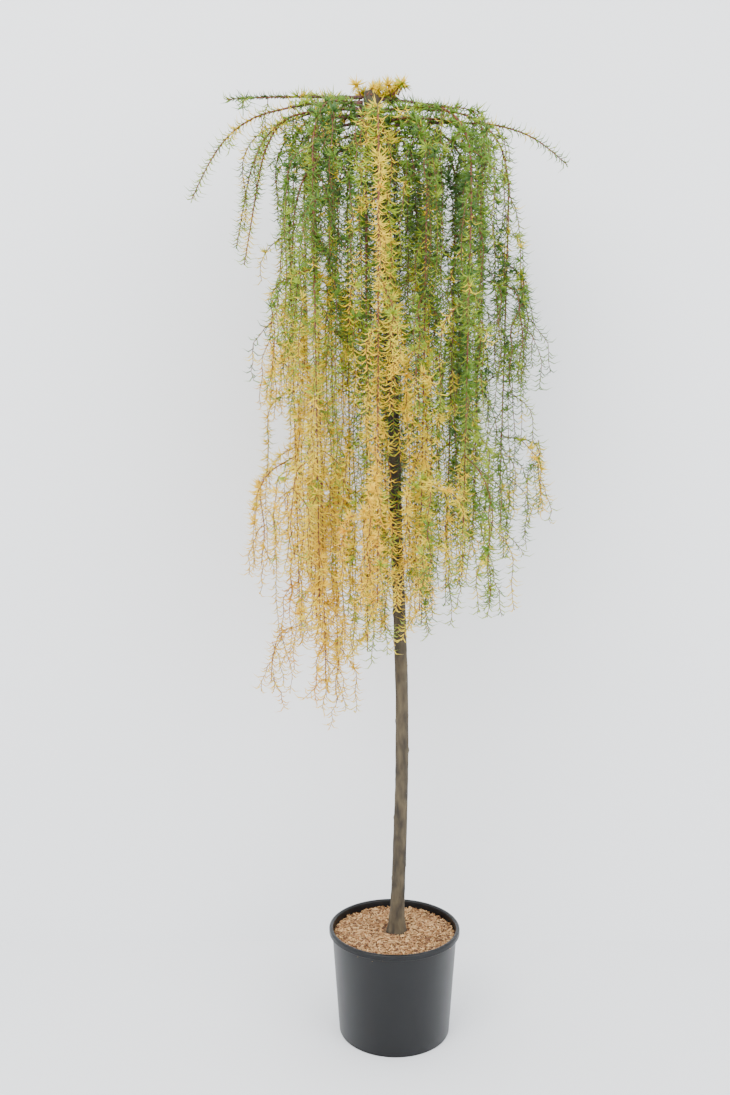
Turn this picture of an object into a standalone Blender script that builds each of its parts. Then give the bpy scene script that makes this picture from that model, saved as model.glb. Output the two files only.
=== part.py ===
"""A potted Japanese larch, grafted as a weeping standard on a bare trunk.

Units are metres and +Z is up. The origin is the centre of the pot's flat underside.
Azimuths are in degrees: 0 is +X (right), 90 is +Y (back), 180 is left and 270 is the front.
Pitches are in degrees above the level.
"""
import math
import random

import bmesh
import bpy
import numpy as np
from mathutils import Matrix, Vector, noise

# Pot
POT_HEIGHT = 0.251
POT_RIM_RADIUS = 0.156
POT_BASE_RADIUS = 0.1315
POT_WALL = 0.003
POT_FLOOR = 0.004
POT_STEPS = 36
LIP_HEIGHT = 0.013
LIP_REACH = 0.0065
SLOT_COUNT = 8
SLOT_WIDTH = 0.018
SLOT_HEIGHT = 0.009
SLOT_BOTTOM = 0.0055

# Soil
SOIL_LEVEL = 0.236
SOIL_EDGE_LEVEL = 0.230
SOIL_BUMP = 0.004
SOIL_STEPS = 24
FOOT_REST_RADIUS = 0.031

# Trunk: its line as heights and how far it leans along X at each of them
TRUNK_LEAN = (
    (0.236, 0.005),
    (0.400, 0.011),
    (0.600, 0.0165),
    (0.740, 0.0175),
    (0.950, 0.0125),
    (1.200, 0.003),
    (1.500, -0.005),
    (1.750, -0.018),
    (2.000, -0.034),
    (2.195, -0.058),
)
TRUNK_TOP = 2.195
TRUNK_FOOT_RADIUS = 0.0165
TRUNK_TOP_RADIUS = 0.0115
FLARE_REACH = 0.009
FLARE_HEIGHT = 0.028
KNOB_REACH = 0.0075
KNOB_LEVEL = 2.170
KNOB_SPREAD = 0.026
TRUNK_RINGS = 24
TRUNK_SIDES = 12

# Spacing between pieces
GAP = 0.0003
CLEARANCE = 0.0025
MERGE = 0.00001

# Boughs and the stems that hang on from them
BOUGH_SIDES = 6
BOUGH_STEPS = 8
BOUGH_BASE_RADIUS = 0.0042
BOUGH_TIP_RADIUS = 0.0026
LEAN_ALLOWANCE = 0.15
STEM_STEP = 0.085
STEM_TIP_RADIUS = 0.0012

# Side shoots
SHOOT_STEP = 0.1
SHOOT_BASE_RADIUS = 0.0016
SHOOT_TIP_RADIUS = 0.0010
SHOOT_FIRST = 0.06
SHOOT_SPACING = 0.40
SHOOT_SHORTEST = 0.16
SHOOT_LONGEST = 0.42
SHOOT_PITCH = (-40, -5)
SHOOT_BEND = 0.06
TRUNK_CLEAR = 0.024
TRIES = 10

# Sprays of needles: flat toothed blades
SPRAY_LENGTH = 0.13
SPRAY_WIDTH = 0.052
SPRAY_THICKNESS = 0.0016
SPRAY_FIRST = 0.08
SPRAY_SPACING = 0.33
SPRAY_SPREAD = 0.55
TIP_SPRAY_OVERLAP = 0.012
TUFT_STEM = 0.016
TUFT_SPRAYS = 4
TUFT_STEP = 0.0024
TUFT_ROLL = 0.2
TUFT_PITCH = 24
TUFT_REACH = 0.062
JOIN_SOLVER = "EXACT"
GOLDEN_ANGLE = 137.5
SEED = 411

# Curtain limbs: where they hang is spread like the seeds of a sunflower round the trunk
CURTAIN_COUNT = 18
CURTAIN_TURN = 324
CURTAIN_RADIUS = 0.200
CURTAIN_CENTRE = (-0.015, 0.0)
CURTAIN_LOW_START = 2.060
CURTAIN_HIGH_START = 2.160
CURTAIN_BOUGH_SHARE = 0.55
CURTAIN_PITCH = 4
CURTAIN_FRONT_SAG = 14
CURTAIN_PLUMB = -91.3
SHOULDER = 0.93
LOWEST_POINT = (-0.10, 0.0)
LOWEST_LEVEL = 0.74
LEVEL_RISE = 1.7
LEVEL_SPREAD = 0.05

# Outer limbs, one row each: name, azimuth, start height, bough length, first pitch, last pitch,
# bend length, stem length
OUTER_LIMBS = (
    ("left_1", 180, 2.184, 0.150, 1, -16, 0.30, 0.160),
    ("left_2", 187, 2.172, 0.170, -3, -67, 0.25, 0.320),
    ("left_3", 170, 2.160, 0.130, 4, -79, 0.18, 0.380),
    ("left_4", 199, 2.152, 0.110, -2, -80, 0.165, 0.430),
    ("left_5", 158, 2.131, 0.090, 2, -86, 0.145, 0.440),
    ("left_6", 207, 2.085, 0.080, -22, -87, 0.15, 0.380),
    ("right_1", 352, 2.118, 0.160, 2, -60, 0.31, 0.290),
    ("right_2", 7, 2.182, 0.090, -3, -28, 0.20, 0.090),
    ("back_1", 78, 2.172, 0.130, 2, -82, 0.23, 0.380),
)


def heading(azimuth, pitch):
    """Unit vector at an azimuth and a pitch in degrees."""
    turn = math.radians(azimuth)
    rise = math.radians(pitch)
    return np.array((math.cos(rise) * math.cos(turn), math.cos(rise) * math.sin(turn), math.sin(rise)))


def arch(start, azimuth, pitches, bend, travelled, length, step):
    """Points of a shoot that leaves at its first pitch and bends over to hang at its last one."""
    first_pitch, last_pitch = pitches
    count = max(2, round(length / step))
    stride = length / count
    points = [np.array(start, dtype=float)]
    for index in range(count):
        way = travelled + index * stride
        pitch = last_pitch + (first_pitch - last_pitch) * math.exp(-(way / bend) ** 3)
        points.append(points[-1] + stride * heading(azimuth, pitch))
    return np.array(points)


def trunk_centre(height):
    """Centre of the trunk at a height, on a smooth line through the named heights."""
    heights = [row[0] for row in TRUNK_LEAN]
    leans = [row[1] for row in TRUNK_LEAN]
    slopes = np.gradient(leans, heights)
    index = int(np.clip(np.searchsorted(heights, height) - 1, 0, len(heights) - 2))
    span = heights[index + 1] - heights[index]
    part = (height - heights[index]) / span
    lean = (
        (2 * part ** 3 - 3 * part ** 2 + 1) * leans[index]
        + (part ** 3 - 2 * part ** 2 + part) * span * slopes[index]
        + (3 * part ** 2 - 2 * part ** 3) * leans[index + 1]
        + (part ** 3 - part ** 2) * span * slopes[index + 1]
    )
    return np.array((lean, 0.0, height))


def trunk_radius(height):
    """Radius of the trunk: an even taper, the root flare and the knob of the graft."""
    part = (height - SOIL_LEVEL) / (TRUNK_TOP - SOIL_LEVEL)
    taper = TRUNK_FOOT_RADIUS + (TRUNK_TOP_RADIUS - TRUNK_FOOT_RADIUS) * part
    flare = FLARE_REACH * math.exp(-(height - SOIL_LEVEL) / FLARE_HEIGHT)
    knob = KNOB_REACH * math.exp(-((height - KNOB_LEVEL) / KNOB_SPREAD) ** 2)
    return taper + flare + knob


def curtain_limbs():
    """Rows for the limbs of the curtain, in the form of the outer limbs' rows."""
    chance = random.Random(SEED)
    rows = []
    for index in range(CURTAIN_COUNT):
        turn = math.radians(CURTAIN_TURN + index * GOLDEN_ANGLE)
        share = math.sqrt((index + 1.5) / (CURTAIN_COUNT + 1))
        hang_x = CURTAIN_CENTRE[0] + CURTAIN_RADIUS * share * math.cos(turn)
        hang_y = CURTAIN_CENTRE[1] + CURTAIN_RADIUS * share * math.sin(turn)
        height = CURTAIN_LOW_START + (CURTAIN_HIGH_START - CURTAIN_LOW_START) * share
        head_x = trunk_centre(height)[0]
        azimuth = math.degrees(math.atan2(hang_y, hang_x - head_x)) % 360
        reach = math.hypot(hang_y, hang_x - head_x) - trunk_radius(height)
        frontness = max(0.0, -hang_y / CURTAIN_RADIUS)
        first_pitch = CURTAIN_PITCH - CURTAIN_FRONT_SAG * frontness
        bottom = LOWEST_LEVEL + LEVEL_RISE * math.hypot(hang_x - LOWEST_POINT[0], hang_y - LOWEST_POINT[1])
        bottom += chance.uniform(-LEVEL_SPREAD, LEVEL_SPREAD)
        bough_length = CURTAIN_BOUGH_SHARE * reach
        stem_length = height - bottom + reach * (1 - CURTAIN_BOUGH_SHARE)
        name = f"curtain_{index + 1:02d}"
        rows.append((
            name, azimuth, height, bough_length, first_pitch, CURTAIN_PLUMB, reach / SHOULDER, stem_length
        ))
    return rows


def grow_limb(row):
    """Paths of one bough and of the stem that hangs on from its tip."""
    name, azimuth, height, bough_length, first_pitch, last_pitch, bend, stem_length = row
    pitches = (first_pitch, last_pitch)
    slant = abs(math.sin(math.radians(first_pitch))) + LEAN_ALLOWANCE
    widest = max(trunk_radius(height - BOUGH_BASE_RADIUS), trunk_radius(height + BOUGH_BASE_RADIUS))
    reach = widest + GAP + BOUGH_BASE_RADIUS * slant
    start = trunk_centre(height) + reach * heading(azimuth, 0)
    stride = bough_length / BOUGH_STEPS
    bough = arch(start, azimuth, pitches, bend, 0, bough_length, stride)
    along = (bough[-1] - bough[-2]) / stride
    stem = arch(
        bough[-1] + GAP * along, azimuth, pitches, bend, bough_length - stride, stem_length, STEM_STEP
    )
    return {"name": name, "azimuth": azimuth, "bough": bough, "stem": stem}


def distance_to_path(points, path):
    """Distance from each point to a path of straight stretches."""
    starts = path[:-1]
    spans = path[1:] - starts
    offsets = points[:, None, :] - starts[None]
    share = np.clip((offsets * spans).sum(-1) / (spans ** 2).sum(-1), 0.0, 1.0)
    nearest = starts + share[..., None] * spans
    return np.linalg.norm(points[:, None, :] - nearest, axis=-1).min(axis=1)


def keeps_to_space(points, number, limbs, trunk_path):
    """Whether all points are nearest to their own stem and clear of the trunk and every bough."""
    own = distance_to_path(points, limbs[number]["stem"])
    if (distance_to_path(points, trunk_path) < TRUNK_CLEAR).any():
        return False
    for index, limb in enumerate(limbs):
        if (distance_to_path(points, limb["bough"]) < BOUGH_BASE_RADIUS + CLEARANCE).any():
            return False
        if index != number and (distance_to_path(points, limb["stem"]) < own + 2 * CLEARANCE).any():
            return False
    return True


def spots_along(path, first, spacing):
    """Points, directions and travelled lengths at even spacing along a path."""
    spots = []
    travelled = 0.0
    wanted = first
    for start, end in zip(path[:-1], path[1:]):
        stretch = np.linalg.norm(end - start)
        while wanted < travelled + stretch:
            spots.append((start + (end - start) * (wanted - travelled) / stretch, (end - start) / stretch))
            wanted += spacing
        travelled += stretch
    return spots


def dense_points(path, spacing):
    """Points close together along a path, for testing its room."""
    return np.array([spot[0] for spot in spots_along(path, 0.0, spacing)] + [path[-1]])


def grow_shoots(number, limbs, trunk_path, chance):
    """Side shoots of one mass: each leaves the stem outwards and hangs beside it."""
    stem = limbs[number]["stem"]
    shoots = []
    turn = chance.uniform(0, 360)
    for spot, _ in spots_along(stem, SHOOT_FIRST, SHOOT_SPACING):
        for _ in range(TRIES):
            turn += GOLDEN_ANGLE
            length = chance.uniform(SHOOT_SHORTEST, SHOOT_LONGEST)
            pitches = (chance.uniform(*SHOOT_PITCH), CURTAIN_PLUMB)
            path = arch(spot, turn, pitches, SHOOT_BEND, 0, length, SHOOT_STEP)
            tested = dense_points(path[1:], SHOOT_STEP / 4)
            if path[-1][2] > LOWEST_LEVEL and keeps_to_space(tested, number, limbs, trunk_path):
                shoots.append(path)
                break
    return shoots


def spray_places(path, number, limbs, trunk_path, chance):
    """Root, direction and length of each spray on a shoot: some on its sides and one at its tip."""
    places = []
    turn = chance.uniform(0, 360)
    for spot, along in spots_along(path, SPRAY_FIRST, SPRAY_SPACING):
        for _ in range(TRIES):
            turn += GOLDEN_ANGLE
            direction = along + SPRAY_SPREAD * heading(turn, 0)
            direction /= np.linalg.norm(direction)
            length = SPRAY_LENGTH * chance.uniform(0.75, 1.1)
            if spray_fits(spot, direction, length, number, limbs, trunk_path):
                places.append((spot, direction, length))
                break
    along = (path[-1] - path[-2]) / np.linalg.norm(path[-1] - path[-2])
    root = path[-1] - along * TIP_SPRAY_OVERLAP
    if spray_fits(root, along, SPRAY_LENGTH * 0.8, number, limbs, trunk_path):
        places.append((root, along, SPRAY_LENGTH * 0.8))
    return places


def spray_fits(root, direction, length, number, limbs, trunk_path):
    """Whether the round space that a spray's teeth can reach is free."""
    side = np.cross(direction, (0.3, 0.9, 0.1))
    side /= np.linalg.norm(side)
    other = np.cross(direction, side)
    tested = []
    for share, reach in ((0.4, 0.5), (0.75, 0.4), (1.0, 0.05)):
        for turn in range(0, 360, 45):
            swing = math.radians(turn)
            around = side * math.cos(swing) + other * math.sin(swing)
            tested.append(root + direction * length * share + around * SPRAY_WIDTH * reach)
    return keeps_to_space(np.array(tested), number, limbs, trunk_path)


def new_material(name, colour, roughness):
    """Plain Principled material."""
    material = bpy.data.materials.new(name)
    material.use_nodes = True
    shader = material.node_tree.nodes["Principled BSDF"]
    shader.inputs["Base Color"].default_value = (*colour, 1.0)
    shader.inputs["Roughness"].default_value = roughness
    shader.inputs["Metallic"].default_value = 0.0
    return material


def new_object(name, data, collection, material=None):
    """Object for some data, linked to a collection."""
    item = bpy.data.objects.new(name, data)
    collection.objects.link(item)
    if material:
        data.materials.clear()
        data.materials.append(material)
    return item


def mesh_from(item, name):
    """Mesh of an evaluated object, with loose caps welded and every face pointing out."""
    graph = bpy.context.evaluated_depsgraph_get()
    graph.update()
    mesh = bpy.data.meshes.new_from_object(item.evaluated_get(graph))
    mesh.name = name
    cage = bmesh.new()
    cage.from_mesh(mesh)
    bmesh.ops.remove_doubles(cage, verts=cage.verts, dist=MERGE)
    bmesh.ops.recalc_face_normals(cage, faces=cage.faces)
    cage.to_mesh(mesh)
    cage.free()
    return mesh


def limb_curve(name, path, radii, collection, sides=None, section=None):
    """Curve object along a path, round with an even number of sides or with a given section."""
    curve = bpy.data.curves.new(name, "CURVE")
    curve.dimensions = "3D"
    curve.use_fill_caps = True
    if section:
        curve.bevel_mode = "OBJECT"
        curve.bevel_object = section
    else:
        curve.bevel_depth = 1.0
        curve.bevel_resolution = (sides - 4) // 2
    spline = curve.splines.new("POLY")
    spline.points.add(len(path) - 1)
    for point, place, radius in zip(spline.points, path, radii):
        point.co = (*place, 1.0)
        point.radius = radius
    return new_object(name, curve, collection)


def limb_mesh(name, path, radii, collection, **shape):
    """Mesh object along a path, made from a curve that is then removed."""
    guide = limb_curve(name + "_guide", path, radii, collection, **shape)
    mesh = mesh_from(guide, name)
    bpy.data.objects.remove(guide)
    return new_object(name, mesh, collection)


def turned_object(name, profile, steps, collection, material):
    """Object turned from a profile of radius and height pairs."""
    mesh = bpy.data.meshes.new(name)
    edges = [(index, index + 1) for index in range(len(profile) - 1)]
    mesh.from_pydata([(radius, 0.0, height) for radius, height in profile], edges, [])
    item = new_object(name, mesh, collection, material)
    screw = item.modifiers.new("turn", "SCREW")
    screw.steps = steps
    screw.render_steps = steps
    screw.use_merge_vertices = True
    screw.merge_threshold = MERGE
    screw.use_smooth_shade = True
    return item


def pot_radius(height):
    """Outer radius of the pot's tapering wall at a height."""
    top = POT_RIM_RADIUS - LIP_REACH
    return POT_BASE_RADIUS + (top - POT_BASE_RADIUS) * height / POT_HEIGHT


def make_pot(collection, cutters, material):
    """Tapering pot with a rolled lip and drain slots just above its floor."""
    lip_bottom = POT_HEIGHT - LIP_HEIGHT
    rounding = LIP_REACH / 2
    profile = [
        (0.0, POT_FLOOR),
        (pot_radius(POT_FLOOR) - POT_WALL, POT_FLOOR),
        (pot_radius(lip_bottom) - POT_WALL, lip_bottom),
        (pot_radius(POT_HEIGHT) - POT_WALL, POT_HEIGHT - rounding),
        (pot_radius(POT_HEIGHT) - POT_WALL + rounding, POT_HEIGHT),
        (POT_RIM_RADIUS - rounding, POT_HEIGHT),
        (POT_RIM_RADIUS, POT_HEIGHT - rounding),
        (POT_RIM_RADIUS, lip_bottom + rounding),
        (POT_RIM_RADIUS - rounding, lip_bottom),
        (pot_radius(lip_bottom), lip_bottom),
        (pot_radius(rounding), rounding),
        (POT_BASE_RADIUS - rounding, 0.0),
        (0.0, 0.0),
    ]
    pot = turned_object("pot", profile, POT_STEPS, collection, material)
    for index in range(SLOT_COUNT):
        swing = 2 * math.pi * (index + 0.5) / SLOT_COUNT
        cage = bmesh.new()
        bmesh.ops.create_cube(cage, size=1.0)
        mesh = bpy.data.meshes.new(f"slot_{index + 1}")
        cage.to_mesh(mesh)
        cage.free()
        cutter = new_object(mesh.name, mesh, cutters)
        cutter.scale = (6 * POT_WALL, SLOT_WIDTH, SLOT_HEIGHT)
        cutter.rotation_euler = (0.0, 0.0, swing)
        reach = POT_BASE_RADIUS
        cutter.location = (
            reach * math.cos(swing), reach * math.sin(swing), SLOT_BOTTOM + SLOT_HEIGHT / 2
        )
        cutter.hide_render = True
        cutter.display_type = "WIRE"
        cut = pot.modifiers.new(cutter.name, "BOOLEAN")
        cut.operation = "DIFFERENCE"
        cut.object = cutter


def make_soil(collection, material):
    """Filling of the pot: level where the trunk stands and gently uneven round it."""
    bottom = POT_FLOOR + GAP
    slack = POT_WALL + GAP * 2
    radii = [FOOT_REST_RADIUS, 0.055, 0.080, 0.105, 0.128]
    profile = [(0.0, SOIL_LEVEL)]
    for radius in radii:
        share = (radius - FOOT_REST_RADIUS) / (POT_BASE_RADIUS - FOOT_REST_RADIUS)
        profile.append((radius, SOIL_LEVEL + (SOIL_EDGE_LEVEL - SOIL_LEVEL) * max(0.0, share)))
    profile.append((pot_radius(SOIL_EDGE_LEVEL) - slack, SOIL_EDGE_LEVEL))
    profile.append((pot_radius(bottom) - slack, bottom))
    profile.append((0.0, bottom))
    guide = turned_object("soil_guide", profile, SOIL_STEPS, collection, material)
    mesh = mesh_from(guide, "soil")
    bpy.data.objects.remove(guide)
    soil = new_object("soil", mesh, collection, material)
    for point in mesh.vertices:
        radius = math.hypot(point.co.x, point.co.y)
        if point.co.z > SOIL_EDGE_LEVEL - MERGE and FOOT_REST_RADIUS + MERGE < radius < radii[-1] + MERGE:
            point.co.z += SOIL_BUMP * noise.noise(point.co * 45.0)
    return soil


def make_trunk(collection, material):
    """Trunk from its flat cut on the soil up to the knob of the graft."""
    foot = SOIL_LEVEL + GAP
    heights = [foot, foot + 0.006, foot + 0.015, foot + 0.028, foot + 0.045]
    below_knob = KNOB_LEVEL - 2 * KNOB_SPREAD
    count = TRUNK_RINGS - len(heights)
    heights += list(np.linspace(foot + 0.10, below_knob, count - 6))
    heights += list(np.linspace(below_knob, TRUNK_TOP, 7)[1:])
    path = [trunk_centre(max(height, foot)) for height in heights]
    path[1][0] = path[0][0]
    radii = [trunk_radius(height) for height in heights]
    trunk = limb_mesh("trunk", path, radii, collection, sides=TRUNK_SIDES)
    trunk.data.materials.append(material)
    trunk.data.shade_smooth()


def make_bough(limb, collection, material):
    """One tapering bough."""
    radii = np.linspace(BOUGH_BASE_RADIUS, BOUGH_TIP_RADIUS, len(limb["bough"]))
    bough = limb_mesh("bough_" + limb["name"], limb["bough"], radii, collection, sides=BOUGH_SIDES)
    bough.data.materials.append(material)
    bough.data.shade_smooth()


def spray_mesh():
    """Flat toothed blade of unit length and width, its root at the origin and its tip at +X."""
    half = [(-0.04, 0.06), (0.42, 0.5), (0.38, 0.13), (0.76, 0.4), (0.72, 0.1)]
    outline = half + [(1.0, 0.0)] + [(along, -across) for along, across in reversed(half)]
    curve = bpy.data.curves.new("spray_outline", "CURVE")
    curve.dimensions = "2D"
    curve.fill_mode = "BOTH"
    curve.extrude = 0.5
    spline = curve.splines.new("POLY")
    spline.points.add(len(outline) - 1)
    for point, (along, across) in zip(spline.points, outline):
        point.co = (along, across, 0.0, 1.0)
    spline.use_cyclic_u = True
    guide = new_object("spray_guide", curve, bpy.context.scene.collection)
    mesh = mesh_from(guide, "spray")
    bpy.data.objects.remove(guide)
    return mesh


def twig_section(cutters):
    """Three-sided section for twigs."""
    curve = bpy.data.curves.new("twig_section", "CURVE")
    curve.dimensions = "2D"
    spline = curve.splines.new("POLY")
    spline.points.add(2)
    for index, point in enumerate(spline.points):
        swing = 2 * math.pi * index / 3
        point.co = (math.cos(swing), math.sin(swing), 0.0, 1.0)
    spline.use_cyclic_u = True
    section = new_object("twig_section", curve, cutters)
    section.hide_render = True
    section.display_type = "WIRE"
    return section


def place_spray(mesh, root, direction, length, roll, collection):
    """One blade set along a direction, rolled about it."""
    turn = Vector(direction).to_track_quat("X", "Z").to_matrix().to_4x4() @ Matrix.Rotation(roll, 4, "X")
    scale = Matrix.Diagonal((length, SPRAY_WIDTH, SPRAY_THICKNESS, 1.0))
    blade = mesh.copy()
    blade.transform(Matrix.Translation(Vector(root)) @ turn @ scale)
    return new_object("spray", blade, collection)


def drop_scraps(mesh):
    """Keep only the largest body of a mesh."""
    cage = bmesh.new()
    cage.from_mesh(mesh)
    unseen = set(cage.faces)
    bodies = []
    while unseen:
        body = [unseen.pop()]
        for face in body:
            for edge in face.edges:
                for other in edge.link_faces:
                    if other in unseen:
                        unseen.remove(other)
                        body.append(other)
        bodies.append(body)
    bodies.sort(key=len)
    for body in bodies[:-1]:
        bmesh.ops.delete(cage, geom=body, context="FACES")
    cage.to_mesh(mesh)
    cage.free()


def join_all(item, joined, material):
    """Union of an object with a collection, whose objects are then removed."""
    join = item.modifiers.new("join", "BOOLEAN")
    join.operation = "UNION"
    join.operand_type = "COLLECTION"
    join.collection = joined
    join.solver = JOIN_SOLVER
    whole = mesh_from(item, item.name + "_joined")
    item.modifiers.clear()
    item.data = whole
    drop_scraps(whole)
    whole.materials.clear()
    whole.materials.append(material)
    for piece in list(joined.objects):
        bpy.data.objects.remove(piece)
    bpy.data.collections.remove(joined)


def make_mass(number, limbs, trunk_path, collection, section, spray, material):
    """One mass: its stem, side shoots and sprays, joined into one solid."""
    chance = random.Random(SEED + number)
    limb = limbs[number]
    joined = bpy.data.collections.new("joined_" + limb["name"])
    bpy.context.scene.collection.children.link(joined)
    stem = limb["stem"]
    stem_radii = np.linspace(BOUGH_TIP_RADIUS * 0.95, STEM_TIP_RADIUS, len(stem))
    mass = limb_mesh("foliage_" + limb["name"], stem, stem_radii, collection, section=section)
    shoots = grow_shoots(number, limbs, trunk_path, chance)
    for path in shoots:
        radii = np.linspace(SHOOT_BASE_RADIUS, SHOOT_TIP_RADIUS, len(path))
        limb_mesh("shoot", path, radii, joined, section=section)
    for path in [stem] + shoots:
        for root, direction, length in spray_places(path, number, limbs, trunk_path, chance):
            place_spray(spray, root, direction, length, chance.uniform(0, math.pi), joined)
    join_all(mass, joined, material)


def make_tuft(collection, section, spray, material):
    """Short upright shoots on the knob at the trunk's top."""
    joined = bpy.data.collections.new("joined_tuft")
    bpy.context.scene.collection.children.link(joined)
    foot = trunk_centre(TRUNK_TOP)
    lean = trunk_centre(TRUNK_TOP) - trunk_centre(TRUNK_TOP - 0.01)
    lean /= np.linalg.norm(lean)
    path = np.array([foot + lean * GAP * 2, foot + lean * TUFT_STEM])
    tuft = limb_mesh("foliage_top", path, (0.004, 0.003), collection, section=section)
    for index in range(TUFT_SPRAYS):
        direction = heading(index * GOLDEN_ANGLE, TUFT_PITCH + index)
        root = path[1] - lean * TUFT_STEP * (index + 0.5)
        place_spray(spray, root, direction, TUFT_REACH, TUFT_ROLL, joined)
    join_all(tuft, joined, material)


def main():
    """Build the whole plant."""
    for item in list(bpy.data.objects):
        bpy.data.objects.remove(item)
    parts = bpy.data.collections.new("potted_larch")
    cutters = bpy.data.collections.new("cutters")
    bpy.context.scene.collection.children.link(parts)
    bpy.context.scene.collection.children.link(cutters)
    make_pot(parts, cutters, new_material("pot_plastic", (0.035, 0.038, 0.045), 0.42))
    make_soil(parts, new_material("bark_mulch", (0.42, 0.26, 0.12), 0.9))
    bark = new_material("bark", (0.16, 0.11, 0.075), 0.85)
    make_trunk(parts, bark)
    limbs = [grow_limb(row) for row in list(OUTER_LIMBS) + curtain_limbs()]
    trunk_path = np.array([trunk_centre(height) for height in np.linspace(SOIL_LEVEL, TRUNK_TOP, 40)])
    section = twig_section(cutters)
    spray = spray_mesh()
    needles = new_material("needles", (0.38, 0.42, 0.10), 0.6)
    for number, limb in enumerate(limbs):
        make_bough(limb, parts, bark)
        make_mass(number, limbs, trunk_path, parts, section, spray, needles)
    make_tuft(parts, section, spray, needles)


main()
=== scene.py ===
"""Looks of a potted weeping larch: bark, boughs, hanging shoots with autumn needles, mulch and pot."""
import math
import random

import bpy
import numpy as np
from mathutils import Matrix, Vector, noise


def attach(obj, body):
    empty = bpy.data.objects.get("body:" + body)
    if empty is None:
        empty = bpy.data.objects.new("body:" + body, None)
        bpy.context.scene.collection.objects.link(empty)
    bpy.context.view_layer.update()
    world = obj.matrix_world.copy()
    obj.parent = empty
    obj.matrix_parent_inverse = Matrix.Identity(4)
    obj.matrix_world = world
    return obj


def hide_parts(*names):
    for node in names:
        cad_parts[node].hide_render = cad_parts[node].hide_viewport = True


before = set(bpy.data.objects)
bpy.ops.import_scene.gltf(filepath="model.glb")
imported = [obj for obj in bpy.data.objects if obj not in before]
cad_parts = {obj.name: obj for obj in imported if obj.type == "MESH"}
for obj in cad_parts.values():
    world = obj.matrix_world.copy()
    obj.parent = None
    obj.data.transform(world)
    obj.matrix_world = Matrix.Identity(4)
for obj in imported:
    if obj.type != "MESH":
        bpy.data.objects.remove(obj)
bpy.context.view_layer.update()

# Pot
POT_HEIGHT = 0.251
POT_RIM_RADIUS = 0.156
POT_BASE_RADIUS = 0.1315
POT_WALL = 0.003
POT_FLOOR = 0.004
POT_SIDES = 128
POT_SHARP_ANGLE = 40
LIP_HEIGHT = 0.013
LIP_REACH = 0.0065
LIP_CROWN = 0.004
LIP_CROWN_STEPS = 8
LIP_BEVEL = 0.001
LIP_SHADOW_STEP = 0.0005

# Foot of the pot: its lowest wall ring has the radius of one level and lies at another, and below it
# the foot turns in, given as insets and levels
FOOT_WALL_LEVEL = 0.002
FOOT_TOP = 0.003
FOOT_TURNS = ((0.001, 0.0006), (0.003, 0.0))

# Soil and the mulch on it
SOIL_LEVEL = 0.236
SOIL_EDGE_LEVEL = 0.230
SOIL_RADIUS = 0.14
MULCH_COUNT = 4600
MULCH_RADIUS = 0.1435
MULCH_TRUNK_GAP = 0.002
MULCH_HEAP = 0.006
MULCH_TILT = 18
MULCH_LENGTH = (0.004, 0.014)
MULCH_THICKNESS = (0.0006, 0.0017)
MULCH_BEND = 0.15
MULCH_TAPER = (1.0, 1.2, 0.7)
MULCH_SIDES = 3
MULCH_SHARES = (5, 4, 2)

# Trunk: its line as heights and how far it leans along X at each of them
TRUNK_LEAN = (
    (0.236, 0.005),
    (0.400, 0.011),
    (0.600, 0.0165),
    (0.740, 0.0175),
    (0.950, 0.0125),
    (1.200, 0.003),
    (1.500, -0.005),
    (1.750, -0.018),
    (2.000, -0.034),
    (2.195, -0.058),
)
TRUNK_TOP = 2.195
TRUNK_FOOT_RADIUS = 0.0165
TRUNK_TOP_RADIUS = 0.0115
FLARE_REACH = 0.009
FLARE_HEIGHT = 0.028
KNOB_REACH = 0.0075
KNOB_LEVEL = 2.170
KNOB_SPREAD = 0.026

# Relief of the trunk's bark: noise scales along X, Y and Z with their depths, and old spurs
BARK_SIDES = 36
BARK_RINGS = 460
RIDGE_SCALE = (190, 190, 45)
RIDGE_DEPTH = 0.0007
SWELL_SCALE = (40, 40, 18)
SWELL_DEPTH = 0.0009
KNOB_SCALE = (120, 120, 120)
KNOB_DEPTH = 0.0028
KNOB_HALF_HEIGHT = 0.03
SPUR_COUNT = 70
SPUR_LEVELS = (0.30, 2.1)
SPUR_NEAR = 0.016
SPUR_DEPTH = 0.0024
SPUR_SPREAD = 0.000022

# Spacing between pieces
GAP = 0.0003
CLEARANCE = 0.0025
TRUNK_CLEAR = 0.024

# Boughs and the stems that hang on from them
BOUGH_STEPS = 8
BOUGH_BASE_RADIUS = 0.0042
BOUGH_TIP_RADIUS = 0.0026
BOUGH_RELIEF_STEP = 0.012
BOUGH_RELIEF_SIDES = 10
BOUGH_BUMP = 0.14
BOUGH_BUMP_RATE = 2.3
LEAN_ALLOWANCE = 0.15
STEM_STEP = 0.085
STEM_TIP_RADIUS = 0.0012
STEM_SIDES = 6

# Side shoots
SHOOT_STEP = 0.1
SHOOT_BASE_RADIUS = 0.0016
SHOOT_TIP_RADIUS = 0.0010
SHOOT_FIRST = 0.06
SHOOT_SPACING = 0.40
SHOOT_SHORTEST = 0.16
SHOOT_LONGEST = 0.42
SHOOT_PITCH = (-40, -5)
SHOOT_BEND = 0.06
SHOOT_SIDES = 4
SHOOT_WANDER = 0.004
TRIES = 10
GOLDEN_ANGLE = 137.5
SEED = 411

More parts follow.
